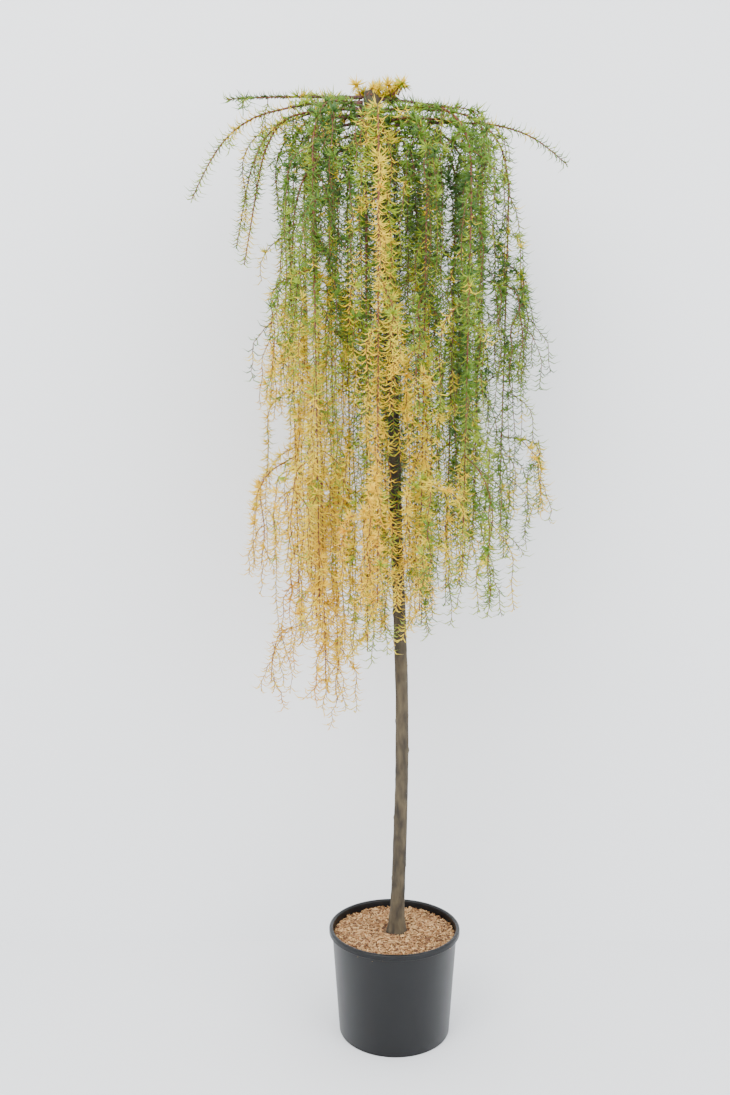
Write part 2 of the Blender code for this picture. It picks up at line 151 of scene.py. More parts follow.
# Curtain limbs: where they hang is spread like the seeds of a sunflower round the trunk
CURTAIN_COUNT = 18
CURTAIN_TURN = 324
CURTAIN_RADIUS = 0.200
CURTAIN_CENTRE = (-0.015, 0.0)
CURTAIN_LOW_START = 2.060
CURTAIN_HIGH_START = 2.160
CURTAIN_BOUGH_SHARE = 0.55
CURTAIN_PITCH = 4
CURTAIN_FRONT_SAG = 14
CURTAIN_PLUMB = -91.3
SHOULDER = 0.93
LOWEST_POINT = (-0.10, 0.0)
LOWEST_LEVEL = 0.74
LEVEL_RISE = 1.7
LEVEL_SPREAD = 0.05

# Outer limbs, one row each: name, azimuth, start height, bough length, first pitch, last pitch,
# bend length, stem length
OUTER_LIMBS = (
    ("left_1", 180, 2.184, 0.150, 1, -16, 0.30, 0.160),
    ("left_2", 187, 2.172, 0.170, -3, -67, 0.25, 0.320),
    ("left_3", 170, 2.160, 0.130, 4, -79, 0.18, 0.380),
    ("left_4", 199, 2.152, 0.110, -2, -80, 0.165, 0.430),
    ("left_5", 158, 2.131, 0.090, 2, -86, 0.145, 0.440),
    ("left_6", 207, 2.085, 0.080, -22, -87, 0.15, 0.380),
    ("right_1", 352, 2.118, 0.160, 2, -60, 0.31, 0.290),
    ("right_2", 7, 2.182, 0.090, -3, -28, 0.20, 0.090),
    ("back_1", 78, 2.172, 0.130, 2, -82, 0.23, 0.380),
)

# Rounding and wandering of the paths
PATH_STEP = 0.02
CORNER_CUT = 0.25
ROUNDINGS = 2
WANDER_PHASES = 6.28
WANDER_RATES = (9.0, 16.0)
WANDER_EASE = 4
WANDER_DEPTH_PHASE = 1.7
WANDER_DEPTH_RATE = 0.8
ACROSS_HINT = (0.31, 0.52, 0.79)

# Fine shoots, which hang only in the scene
FINE_SPACING = 0.045
FINE_SHORTEST = 0.14
FINE_LONGEST = 0.48
FINE_LEAST = 0.08
FINE_OVERHANG = 0.03
FINE_TURN_SPREAD = 20
FINE_PITCH = (-68, -12)
FINE_PLUMB_SPREAD = (-2, 4)
FINE_BEND = (0.03, 0.07)
FINE_RADII = (0.0012, 0.0007)
FINE_SIDES = 3
FINE_WANDER = 0.003
FINE_DENSITY = 0.8
FINE_FIRST_ON_STEM = 0.03
FINE_FIRST_ON_SHOOT = 0.04
FINE_FIRST_ON_BOUGH = 0.03
FINE_FIRST_ON_OUTER = 0.02
FINE_ON_OUTER = 3

# Needles
NEEDLE_LENGTH = 0.031
NEEDLE_RADIUS = 0.0013
NEEDLE_SPACING = 0.0040
OUTER_NEEDLE_SPACING = 0.0026
NEEDLE_FIRST = 0.01
NEEDLE_FORWARD = 0.75
NEEDLE_TIP_FORWARD = 0.1
NEEDLE_TIP_LIFT = 0.35
NEEDLE_LENGTH_SPREAD = (0.7, 1.15)
NEEDLE_LEAST_OUT = 0.2
NEEDLE_ROOT_WIDTH = 0.8
NEEDLE_ROOT_SHARE = 0.45
NEEDLE_TIP_SHARE = 0.55
NEEDLE_CORNERS = (0.0, 2.0944, 4.1888)
NEEDLE_POINTS = 7
NEEDLE_SIDE_HINT = (0.42, 0.31, 0.85)
NEEDLES_PER_TINT = 6
PIECE_NEEDLES = 21000

# Rosettes of needles on older wood
TUFT_EVERY = 0.016
TUFT_CHANCE = 0.5
TUFT_NEEDLES = 12
TUFT_PITCH = (-10, 50)
TUFT_SPREAD = 0.75
TUFT_LENGTH_SPREAD = (0.55, 0.95)
BOUGH_TUFT_FIRST = 0.03
BOUGH_TUFT_RIPENESS = -0.05
LEFT_BOUGHS_FROM = -0.06
LEFT_TUFT_FIRST = 0.06
LEFT_TUFT_RIPENESS = 0.18

# Short shoots of the crest over the knob
CREST_COUNT = 16
CREST_REACH_X = (-0.03, 0.07)
CREST_REACH_Y = (-0.04, 0.04)
CREST_DROP = 0.012
CREST_PITCH = (20, 75)
CREST_LAST_PITCH = 5
CREST_BEND = 0.05
CREST_LENGTH = (0.018, 0.035)
CREST_STEP = 0.012
CREST_RADII = (0.002, 0.001)
CREST_SIDES = 5
CREST_TUFTS = 4
CREST_RIPENESS = 0.35

# Tints of the needles, from green through yellow to orange, and the ripeness where each next one begins
TINTS = {
    "needles_deep_green": (0.045, 0.120, 0.012),
    "needles_green": (0.120, 0.230, 0.012),
    "needles_lime": (0.300, 0.400, 0.015),
    "needles_yellow": (0.800, 0.600, 0.020),
    "needles_gold": (0.900, 0.580, 0.012),
    "needles_orange": (0.800, 0.420, 0.010),
}
TINT_STEPS = (0.10, 0.31, 0.44, 0.60, 0.92)
TINT_SPREAD = 0.09
LIMB_RIPENESS_SPREAD = 0.14
SHOOT_RIPENESS_SPREAD = 0.10

# Autumn: how much is added everywhere, low on the left, low, and on the left, then where those begin
AUTUMN_BASE = 0.14
AUTUMN_LOW_LEFT = 0.30
AUTUMN_LOW = 0.20
AUTUMN_LEFT = 0.10
AUTUMN_MIDDLE = 0.5
AUTUMN_WIDTH = 0.30
AUTUMN_LEVEL = 1.95
AUTUMN_FALL = 0.75

# Mottling of the materials
RELIEF_DETAIL = 6.0
RELIEF_BAND = (0.32, 0.68)

# Studio: name, place, size and power of each lamp
STAGE_REACH = 6
BACKDROP_AT = 0.45
BACKDROP_HEIGHT = 5
STAGE_COLOUR = (0.86, 0.87, 0.885)
SKY_COLOUR = (0.95, 0.97, 1.0, 1.0)
SKY_STRENGTH = 2.1
LAMPS = (
    ("key", (-1.6, -2.6, 3.2), 2.2, 110.0),
    ("fill", (2.2, -2.4, 2.2), 2.4, 70.0),
)
LAMP_TARGET = (0, 0, 1.2)

# Camera: its place, how far it looks down, and its lens
CAMERA_PLACE = (-0.0703, -2.3087, 1.3026)
CAMERA_DROP = 3.58
CAMERA_LENS = 32.5
CAMERA_SENSOR = 36.0


def heading(azimuth, pitch):
    """Unit vector at an azimuth and a pitch in degrees."""
    turn = math.radians(azimuth)
    rise = math.radians(pitch)
    return np.array((math.cos(rise) * math.cos(turn), math.cos(rise) * math.sin(turn), math.sin(rise)))


def arch(start, azimuth, pitches, bend, travelled, length, step):
    """Points of a shoot that leaves at its first pitch and bends over to hang at its last one."""
    first_pitch, last_pitch = pitches
    count = max(2, round(length / step))
    stride = length / count
    points = [np.array(start, dtype=float)]
    for index in range(count):
        way = travelled + index * stride
        pitch = last_pitch + (first_pitch - last_pitch) * math.exp(-(way / bend) ** 3)
        points.append(points[-1] + stride * heading(azimuth, pitch))
    return np.array(points)


def trunk_centre(height):
    """Centre of the trunk at a height, on a smooth line through the named heights."""
    heights = [row[0] for row in TRUNK_LEAN]
    leans = [row[1] for row in TRUNK_LEAN]
    slopes = np.gradient(leans, heights)
    index = int(np.clip(np.searchsorted(heights, height) - 1, 0, len(heights) - 2))
    span = heights[index + 1] - heights[index]
    part = (height - heights[index]) / span
    lean = (
        (2 * part ** 3 - 3 * part ** 2 + 1) * leans[index]
        + (part ** 3 - 2 * part ** 2 + part) * span * slopes[index]
        + (3 * part ** 2 - 2 * part ** 3) * leans[index + 1]
        + (part ** 3 - part ** 2) * span * slopes[index + 1]
    )
    return np.array((lean, 0.0, height))


def trunk_radius(height):
    """Radius of the trunk: an even taper, the root flare and the knob of the graft."""
    part = (height - SOIL_LEVEL) / (TRUNK_TOP - SOIL_LEVEL)
    taper = TRUNK_FOOT_RADIUS + (TRUNK_TOP_RADIUS - TRUNK_FOOT_RADIUS) * part
    flare = FLARE_REACH * math.exp(-(height - SOIL_LEVEL) / FLARE_HEIGHT)
    knob = KNOB_REACH * math.exp(-((height - KNOB_LEVEL) / KNOB_SPREAD) ** 2)
    return taper + flare + knob


def curtain_limbs():
    """Rows for the limbs of the curtain, in the form of the outer limbs' rows."""
    chance = random.Random(SEED)
    rows = []
    for index in range(CURTAIN_COUNT):
        turn = math.radians(CURTAIN_TURN + index * GOLDEN_ANGLE)
        share = math.sqrt((index + 1.5) / (CURTAIN_COUNT + 1))
        hang_x = CURTAIN_CENTRE[0] + CURTAIN_RADIUS * share * math.cos(turn)
        hang_y = CURTAIN_CENTRE[1] + CURTAIN_RADIUS * share * math.sin(turn)
        height = CURTAIN_LOW_START + (CURTAIN_HIGH_START - CURTAIN_LOW_START) * share
        head_x = trunk_centre(height)[0]
        azimuth = math.degrees(math.atan2(hang_y, hang_x - head_x)) % 360
        reach = math.hypot(hang_y, hang_x - head_x) - trunk_radius(height)
        frontness = max(0.0, -hang_y / CURTAIN_RADIUS)
        first_pitch = CURTAIN_PITCH - CURTAIN_FRONT_SAG * frontness
        bottom = LOWEST_LEVEL + LEVEL_RISE * math.hypot(hang_x - LOWEST_POINT[0], hang_y - LOWEST_POINT[1])
        bottom += chance.uniform(-LEVEL_SPREAD, LEVEL_SPREAD)
        bough_length = CURTAIN_BOUGH_SHARE * reach
        stem_length = height - bottom + reach * (1 - CURTAIN_BOUGH_SHARE)
        name = f"curtain_{index + 1:02d}"
        rows.append((
            name, azimuth, height, bough_length, first_pitch, CURTAIN_PLUMB, reach / SHOULDER, stem_length
        ))
    return rows


def grow_limb(row):
    """Paths of one bough and of the stem that hangs on from its tip."""
    name, azimuth, height, bough_length, first_pitch, last_pitch, bend, stem_length = row
    pitches = (first_pitch, last_pitch)
    slant = abs(math.sin(math.radians(first_pitch))) + LEAN_ALLOWANCE
    widest = max(trunk_radius(height - BOUGH_BASE_RADIUS), trunk_radius(height + BOUGH_BASE_RADIUS))
    reach = widest + GAP + BOUGH_BASE_RADIUS * slant
    start = trunk_centre(height) + reach * heading(azimuth, 0)
    stride = bough_length / BOUGH_STEPS
    bough = arch(start, azimuth, pitches, bend, 0, bough_length, stride)
    along = (bough[-1] - bough[-2]) / stride
    stem = arch(
        bough[-1] + GAP * along, azimuth, pitches, bend, bough_length - stride, stem_length, STEM_STEP
    )
    return {"name": name, "bough": bough, "stem": stem}


def distance_to_path(points, path):
    """Distance from each point to a path of straight stretches."""
    starts = path[:-1]
    spans = path[1:] - starts
    offsets = points[:, None, :] - starts[None]
    share = np.clip((offsets * spans).sum(-1) / (spans ** 2).sum(-1), 0.0, 1.0)
    nearest = starts + share[..., None] * spans
    return np.linalg.norm(points[:, None, :] - nearest, axis=-1).min(axis=1)


def keeps_to_space(points, number, limbs, trunk_path):
    """Whether all points are nearest to their own stem and clear of the trunk and every bough."""
    own = distance_to_path(points, limbs[number]["stem"])
    if (distance_to_path(points, trunk_path) < TRUNK_CLEAR).any():
        return False
    for index, limb in enumerate(limbs):
        if (distance_to_path(points, limb["bough"]) < BOUGH_BASE_RADIUS + CLEARANCE).any():
            return False
        if index != number and (distance_to_path(points, limb["stem"]) < own + 2 * CLEARANCE).any():
            return False
    return True


def spots_along(path, first, spacing):
    """Points and directions at even spacing along a path."""
    spots = []
    travelled = 0.0
    wanted = first
    for start, end in zip(path[:-1], path[1:]):
        stretch = np.linalg.norm(end - start)
        while wanted < travelled + stretch:
            spots.append((start + (end - start) * (wanted - travelled) / stretch, (end - start) / stretch))
            wanted += spacing
        travelled += stretch
    return spots


def dense_points(path, spacing):
    """Points close together along a path, for testing its room."""
    return np.array([spot[0] for spot in spots_along(path, 0.0, spacing)] + [path[-1]])


def grow_shoots(number, limbs, trunk_path, chance):
    """Side shoots of one mass: each leaves the stem outwards and hangs beside it."""
    stem = limbs[number]["stem"]
    shoots = []
    turn = chance.uniform(0, 360)
    for spot, _ in spots_along(stem, SHOOT_FIRST, SHOOT_SPACING):
        for _ in range(TRIES):
            turn += GOLDEN_ANGLE
            length = chance.uniform(SHOOT_SHORTEST, SHOOT_LONGEST)
            pitches = (chance.uniform(*SHOOT_PITCH), CURTAIN_PLUMB)
            path = arch(spot, turn, pitches, SHOOT_BEND, 0, length, SHOOT_STEP)
            tested = dense_points(path[1:], SHOOT_STEP / 4)
            if path[-1][2] > LOWEST_LEVEL and keeps_to_space(tested, number, limbs, trunk_path):
                shoots.append(path)
                break
    return shoots


def pot_radius(height):
    """Outer radius of the pot's tapering wall at a height."""
    top = POT_RIM_RADIUS - LIP_REACH
    return POT_BASE_RADIUS + (top - POT_BASE_RADIUS) * height / POT_HEIGHT


def new_material(name, colour, roughness):
    """Principled material with plain values."""
    material = bpy.data.materials.new(name)
    material.use_nodes = True
    shader = material.node_tree.nodes["Principled BSDF"]
    shader.inputs["Base Color"].default_value = (*colour, 1.0)
    shader.inputs["Roughness"].default_value = roughness
    return material


def add_relief(material, scale, stretch, colours, strength, distance):
    """Mottled colour and bump from noise in object space."""
    nodes = material.node_tree.nodes
    links = material.node_tree.links
    shader = nodes["Principled BSDF"]
    place = nodes.new("ShaderNodeTexCoord")
    mapping = nodes.new("ShaderNodeMapping")
    mapping.inputs["Scale"].default_value = stretch
    grain = nodes.new("ShaderNodeTexNoise")
    grain.inputs["Scale"].default_value = scale
    grain.inputs["Detail"].default_value = RELIEF_DETAIL
    ramp = nodes.new("ShaderNodeValToRGB")
    ramp.color_ramp.elements[0].position = RELIEF_BAND[0]
    ramp.color_ramp.elements[1].position = RELIEF_BAND[1]
    ramp.color_ramp.elements[0].color = (*colours[0], 1.0)
    ramp.color_ramp.elements[1].color = (*colours[1], 1.0)
    bump = nodes.new("ShaderNodeBump")
    bump.inputs["Strength"].default_value = strength
    bump.inputs["Distance"].default_value = distance
    links.new(place.outputs["Object"], mapping.inputs["Vector"])
    links.new(mapping.outputs["Vector"], grain.inputs["Vector"])
    links.new(grain.outputs["Fac"], ramp.inputs["Fac"])
    links.new(ramp.outputs["Color"], shader.inputs["Base Color"])
    links.new(grain.outputs["Fac"], bump.inputs["Height"])
    links.new(bump.outputs["Normal"], shader.inputs["Normal"])


def mesh_piece(name, points, faces, material, smooth=True):
    """Object from arrays of points and faces."""
    mesh = bpy.data.meshes.new(name)
    mesh.from_pydata(points, [], faces)
    mesh.materials.append(material)
    if smooth:
        mesh.shade_smooth()
    piece = bpy.data.objects.new(name, mesh)
    bpy.context.scene.collection.objects.link(piece)
    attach(piece, "root")
    return piece


def tube(points, faces, path, radii, sides):
    """Adds a closed tube along a path to lists of points and faces."""
    path = np.asarray(path)
    across = np.cross(path[1] - path[0], ACROSS_HINT)
    first = len(points)
    for index, centre in enumerate(path):
        along = path[min(index + 1, len(path) - 1)] - path[max(index - 1, 0)]
        along = along / np.linalg.norm(along)
        across = across - along * across.dot(along)
        across = across / np.linalg.norm(across)
        other = np.cross(along, across)
        for side in range(sides):
            swing = 2 * math.pi * side / sides
            spoke = across * math.cos(swing) + other * math.sin(swing)
            points.append(tuple(centre + radii[index] * spoke))
    for ring in range(len(path) - 1):
        low = first + ring * sides
        for side in range(sides):
            after = (side + 1) % sides
            faces.append((low + side, low + after, low + sides + after, low + sides + side))
    faces.append(tuple(range(first + sides - 1, first - 1, -1)))
    last = first + (len(path) - 1) * sides
    faces.append(tuple(range(last, last + sides)))


def smooth_path(path, spacing):
    """Rounded path with even spacing through the corners of a coarse one."""
    rounded = np.asarray(path)
    for _ in range(ROUNDINGS):
        near = rounded[:-1] * (1 - CORNER_CUT) + rounded[1:] * CORNER_CUT
        far = rounded[:-1] * CORNER_CUT + rounded[1:] * (1 - CORNER_CUT)
        inner = np.empty((2 * len(near), 3))
        inner[0::2] = near
        inner[1::2] = far
        rounded = np.vstack([rounded[:1], inner[1:-1], rounded[-1:]])
    return dense_points(rounded, spacing)


def wander(path, chance, amount):
    """Small sideways bends that grow along a shoot."""
    phase = chance.uniform(0, WANDER_PHASES)
    rate = chance.uniform(*WANDER_RATES)
    ways = np.linspace(0.0, 1.0, len(path))
    ease = np.minimum(1.0, ways * WANDER_EASE)
    moved = path.copy()
    moved[:, 0] += amount * np.sin(phase + rate * ways) * ease
    moved[:, 1] += amount * np.cos(phase * WANDER_DEPTH_PHASE + rate * WANDER_DEPTH_RATE * ways) * ease
    return moved


def fine_shoots(path, chance, first):
    """Fine shoots that hang beside a coarser one, spaced evenly round it."""
    shoots = []
    turn = chance.uniform(0, 360)
    for spot, _ in spots_along(path, first, FINE_SPACING):
        turn += GOLDEN_ANGLE + chance.uniform(-FINE_TURN_SPREAD, FINE_TURN_SPREAD)
        length = chance.uniform(FINE_SHORTEST, FINE_LONGEST)
        length = min(length, max(FINE_LEAST, spot[2] - path[-1][2] + FINE_OVERHANG))
        pitches = (chance.uniform(*FINE_PITCH), CURTAIN_PLUMB + chance.uniform(*FINE_PLUMB_SPREAD))
        bend = chance.uniform(*FINE_BEND)
        shoots.append(arch(spot, turn, pitches, bend, 0, length, PATH_STEP * 2))
    return shoots


def autumn(place):
    """How far the autumn colour has gone at a place: low and left first, the right side last."""
    left = np.clip(AUTUMN_MIDDLE - place[0] / AUTUMN_WIDTH, 0.0, 1.0)
    low = np.clip((AUTUMN_LEVEL - place[2]) / AUTUMN_FALL, 0.0, 1.0)
    return AUTUMN_BASE + AUTUMN_LOW_LEFT * left * low + AUTUMN_LOW * low + AUTUMN_LEFT * left


def deal_tint(place, chance, ripeness):
    """Tint of a few needles at a place on a shoot of a certain ripeness."""
    value = autumn(place) + ripeness + chance.gauss(0.0, TINT_SPREAD)
    return sum(value > step for step in TINT_STEPS)


def add_needles(store, spots, chance, ripeness, density):
    """Single needles all round a shoot, curving up from it."""
    turn = chance.uniform(0, 360)
    tint = 0
    for index, (spot, along) in enumerate(spots):
        if index % NEEDLES_PER_TINT == 0:
            tint = deal_tint(spot, chance, ripeness)
        if chance.random() > density:
            continue
        turn += GOLDEN_ANGLE
        side = heading(turn, 0)
        out = side - along * side.dot(along)
        out = out / max(np.linalg.norm(out), NEEDLE_LEAST_OUT)
        first = along * NEEDLE_FORWARD + out
        last = out + along * NEEDLE_TIP_FORWARD + np.array((0.0, 0.0, NEEDLE_TIP_LIFT))
        reach = NEEDLE_LENGTH * chance.uniform(*NEEDLE_LENGTH_SPREAD)
        store[tint].append((spot, first / np.linalg.norm(first), last / np.linalg.norm(last), reach))


def add_tufts(store, spots, chance, ripeness):
    """Rosettes of short needles on older wood."""
    for spot, _ in spots:
        tint = deal_tint(spot, chance, ripeness)
        axis = heading(chance.uniform(0, 360), chance.uniform(*TUFT_PITCH))
        for _ in range(TUFT_NEEDLES):
            spread = np.array([chance.gauss(0, TUFT_SPREAD) for _ in range(3)])
            way = axis + spread
            way = way / np.linalg.norm(way)
            store[tint].append((spot, way, way, NEEDLE_LENGTH * chance.uniform(*TUFT_LENGTH_SPREAD)))


def needle_corners(group):
    """Corners of bent three-sided needles: two rings of three and a tip for each."""
    roots, first, last = (np.array([row[item] for row in group]) for item in range(3))
    lengths = np.array([row[3] for row in group])[:, None]
    side = np.cross(first, NEEDLE_SIDE_HINT)
    side /= np.linalg.norm(side, axis=1)[:, None]
    other = np.cross(first, side)
    middle = roots + first * lengths * NEEDLE_ROOT_SHARE
    corners = []
    for centre, radius in ((roots, NEEDLE_RADIUS * NEEDLE_ROOT_WIDTH), (middle, NEEDLE_RADIUS)):
        for swing in NEEDLE_CORNERS:
            corners.append(centre + radius * (side * math.cos(swing) + other * math.sin(swing)))
    corners.append(middle + last * lengths * NEEDLE_TIP_SHARE)
    return np.stack(corners, axis=1).reshape(-1, 3)


def needle_pieces(store, materials):
    """Joined meshes of needles, one tint each."""
    pattern = [(0, 2, 1)]
    for index in range(3):
        after = (index + 1) % 3
        pattern += [(index, after, 3 + after), (index, 3 + after, 3 + index), (3 + index, 3 + after, 6)]
    pattern = np.array(pattern)
    for tint, name in enumerate(TINTS):
        rows = store[tint]
        for part, low in enumerate(range(0, len(rows), PIECE_NEEDLES)):
            group = rows[low:low + PIECE_NEEDLES]
            points = needle_corners(group)
            firsts = np.arange(len(group))[:, None, None] * NEEDLE_POINTS
            faces = (firsts + pattern[None]).reshape(-1, 3)
            mesh = bpy.data.meshes.new(name)
            mesh.vertices.add(len(points))
            mesh.vertices.foreach_set("co", points.ravel())
            mesh.loops.add(len(faces) * 3)
            mesh.loops.foreach_set("vertex_index", faces.ravel())
            mesh.polygons.add(len(faces))
            mesh.polygons.foreach_set("loop_start", np.arange(len(faces)) * 3)
            mesh.update(calc_edges=True)
            mesh.validate()
            mesh.materials.append(materials[tint])
            piece = bpy.data.objects.new(f"{name}_{part + 1}", mesh)
            bpy.context.scene.collection.objects.link(piece)
            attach(piece, "root")


def dress_limb(number, limbs, trunk_path, bough_mesh, twig_mesh, store):
    """One bough with the shoots that hang from it and their needles."""
    limb = limbs[number]
    stem = limb["stem"]
    outer = number < len(OUTER_LIMBS)
    chance = random.Random(SEED + number)
    shoots = grow_shoots(number, limbs, trunk_path, chance)
    bough = smooth_path(limb["bough"], BOUGH_RELIEF_STEP)
    radii = np.linspace(BOUGH_BASE_RADIUS, BOUGH_TIP_RADIUS, len(bough))
    bumps = [1.0 + BOUGH_BUMP * math.sin(BOUGH_BUMP_RATE * step + number) for step in range(len(bough))]
    tube(*bough_mesh, bough, radii * np.array(bumps), BOUGH_RELIEF_SIDES)
    ripeness = chance.gauss(0.0, LIMB_RIPENESS_SPREAD)
    hanging = smooth_path(stem, PATH_STEP)
    tube(*twig_mesh, hanging, np.linspace(BOUGH_TIP_RADIUS, STEM_TIP_RADIUS, len(hanging)), STEM_SIDES)
    rods = [(hanging, 1.0)]
    if outer:
        fines = fine_shoots(stem[:3], chance, FINE_FIRST_ON_OUTER)[:FINE_ON_OUTER]
    else:
        fines = fine_shoots(stem, chance, FINE_FIRST_ON_STEM)
        for path in shoots:
            fines += fine_shoots(path, chance, FINE_FIRST_ON_SHOOT)
        fines += fine_shoots(limb["bough"], chance, FINE_FIRST_ON_BOUGH)
    for paths, ends, sides, amount, density in (
        (shoots, (SHOOT_BASE_RADIUS, SHOOT_TIP_RADIUS), SHOOT_SIDES, SHOOT_WANDER, 1.0),
        (fines, FINE_RADII, FINE_SIDES, FINE_WANDER, FINE_DENSITY),
    ):
        for path in paths:
            path = wander(smooth_path(path, PATH_STEP), chance, amount)
            tube(*twig_mesh, path, np.linspace(*ends, len(path)), sides)
            rods.append((path, density))
    spacing = OUTER_NEEDLE_SPACING if outer else NEEDLE_SPACING
    for path, density in rods:
        shade = ripeness + chance.gauss(0.0, SHOOT_RIPENESS_SPREAD)
        add_needles(store, spots_along(path, NEEDLE_FIRST, spacing), chance, shade, density)
        if not outer and chance.random() < TUFT_CHANCE:
            upper = path[:len(path) // 2 + 1]
            add_tufts(store, spots_along(upper, NEEDLE_FIRST, TUFT_EVERY * 2), chance, shade)
    if bough[0][0] > LEFT_BOUGHS_FROM:
        spots = spots_along(bough, BOUGH_TUFT_FIRST, TUFT_EVERY)
        add_tufts(store, spots, chance, ripeness + BOUGH_TUFT_RIPENESS)
    else:
        spots = spots_along(bough, LEFT_TUFT_FIRST, TUFT_EVERY / 2)
        add_tufts(store, spots, chance, LEFT_TUFT_RIPENESS)


def dress_crest(twig_mesh, store):
    """Short shoots with rosettes over the knob at the top of the trunk."""
    crest = trunk_centre(TRUNK_TOP)
    chance = random.Random(SEED)
    for index in range(CREST_COUNT):
        offset = (chance.uniform(*CREST_REACH_X), chance.uniform(*CREST_REACH_Y), -CREST_DROP)
        pitches = (chance.uniform(*CREST_PITCH), CREST_LAST_PITCH)
        length = chance.uniform(*CREST_LENGTH)
        start = crest + np.array(offset)
        path = arch(start, index * GOLDEN_ANGLE, pitches, CREST_BEND, 0, length, CREST_STEP)
        tube(*twig_mesh, path, np.linspace(*CREST_RADII, len(path)), CREST_SIDES)
        add_tufts(store, [(path[-1], path[-1] - path[-2])] * CREST_TUFTS, chance, CREST_RIPENESS)


def make_crown(bark, twig_bark):
    """Boughs, hanging shoots and needles of the whole crown."""
    limbs = [grow_limb(row) for row in list(OUTER_LIMBS) + curtain_limbs()]
    trunk_path = np.array([trunk_centre(height) for height in np.linspace(SOIL_LEVEL, TRUNK_TOP, 40)])
    bough_mesh = ([], [])
    twig_mesh = ([], [])
    store = [[] for _ in TINTS]
    for number in range(len(limbs)):
        dress_limb(number, limbs, trunk_path, bough_mesh, twig_mesh, store)
    dress_crest(twig_mesh, store)
    boughs = mesh_piece("bough_bark", *bough_mesh, bark)
    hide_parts(*["bough_" + limb["name"] for limb in limbs])
    twigs = mesh_piece("twigs", *twig_mesh, twig_bark)
    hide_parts("foliage_top", *["foliage_" + limb["name"] for limb in limbs])
    materials = [new_material(name, colour, 0.55) for name, colour in TINTS.items()]
    needle_pieces(store, materials)


def relief(seat, scale):
    """Noise at a place of the bark."""
    return noise.noise(Vector((seat.x * scale[0], seat.y * scale[1], seat.z * scale[2])))


def make_trunk(bark):
    """Trunk with ridged bark, old spur bumps and the gnarled knob of the graft."""
    points = []
    faces = []
    sides = BARK_SIDES
    heights = list(np.linspace(SOIL_LEVEL + GAP, TRUNK_TOP, BARK_RINGS))
    chance = random.Random(SEED)
    spurs = [(chance.uniform(*SPUR_LEVELS), chance.uniform(0, 2 * math.pi)) for _ in range(SPUR_COUNT)]
    for height in heights:
        centre = trunk_centre(height)
        radius = trunk_radius(height)
        near = [spur for spur in spurs if abs(spur[0] - height) < SPUR_NEAR]
        for side in range(sides):
            swing = 2 * math.pi * side / sides
            spoke = Vector((math.cos(swing), math.sin(swing), 0.0))
            seat = Vector(centre) + spoke * radius
            out = RIDGE_DEPTH * relief(seat, RIDGE_SCALE) + SWELL_DEPTH * relief(seat, SWELL_SCALE)
            for spur_height, spur_turn in near:
                swing_away = math.sin((swing - spur_turn) / 2) * 2 * radius
                away = (height - spur_height) ** 2 + swing_away ** 2
                out += SPUR_DEPTH * math.exp(-away / SPUR_SPREAD)
            if height > KNOB_LEVEL - KNOB_HALF_HEIGHT:
                out += KNOB_DEPTH * relief(seat, KNOB_SCALE)
            points.append(tuple(seat + spoke * out))
    for ring in range(len(heights) - 1):
        low = ring * sides
        for side in range(sides):
            after = (side + 1) % sides
            faces.append((low + side, low + after, low + sides + after, low + sides + side))
    faces.append(tuple(range(sides - 1, -1, -1)))
    faces.append(tuple(range((len(heights) - 1) * sides, len(heights) * sides)))
    trunk = mesh_piece("trunk_bark", points, faces, bark)
    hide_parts("trunk")


def pot_rings():
    """Radius and height of each ring of the pot, from its floor inside, over the lip, to its underside."""
    lip_bottom = POT_HEIGHT - LIP_HEIGHT
    inner = pot_radius(POT_HEIGHT) - POT_WALL
    rings = [(pot_radius(POT_FLOOR) - POT_WALL, POT_FLOOR), (pot_radius(lip_bottom) - POT_WALL, lip_bottom)]
    middle = (inner + POT_RIM_RADIUS) / 2
    half = (POT_RIM_RADIUS - inner) / 2
    for index in range(LIP_CROWN_STEPS + 1):
        swing = math.pi - math.pi * index / LIP_CROWN_STEPS
        level = POT_HEIGHT - LIP_CROWN + LIP_CROWN * math.sin(swing)
        rings.append((middle + half * math.cos(swing), level))
    rings.append((POT_RIM_RADIUS, lip_bottom + LIP_BEVEL))
    rings.append((POT_RIM_RADIUS - LIP_BEVEL, lip_bottom))
    rings.append((pot_radius(lip_bottom) + LIP_SHADOW_STEP, lip_bottom))
    rings.append((pot_radius(lip_bottom), lip_bottom - LIP_BEVEL))
    rings.append((pot_radius(FOOT_WALL_LEVEL), FOOT_TOP))
    for inset, level in FOOT_TURNS:
        rings.append((POT_BASE_RADIUS - inset, level))
    return rings


def make_pot(material):
    """Smooth pot with its rolled lip and a shadow step under it."""
    steps = POT_SIDES
    rings = pot_rings()
    points = [(0.0, 0.0, POT_FLOOR)]
    for radius, height in rings:
        for side in range(steps):
            swing = 2 * math.pi * side / steps
            points.append((radius * math.cos(swing), radius * math.sin(swing), height))
    points.append((0.0, 0.0, 0.0))
    faces = []
    for side in range(steps):
        after = (side + 1) % steps
        faces.append((0, 1 + side, 1 + after))
        for ring in range(len(rings) - 1):
            low = 1 + ring * steps
            faces.append((low + side, low + steps + side, low + steps + after, low + after))
        low = 1 + (len(rings) - 1) * steps
        faces.append((len(points) - 1, low + after, low + side))
    pot = mesh_piece("pot_wall", points, faces, material)
    pot.data.set_sharp_from_angle(angle=math.radians(POT_SHARP_ANGLE))
    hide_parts("pot")


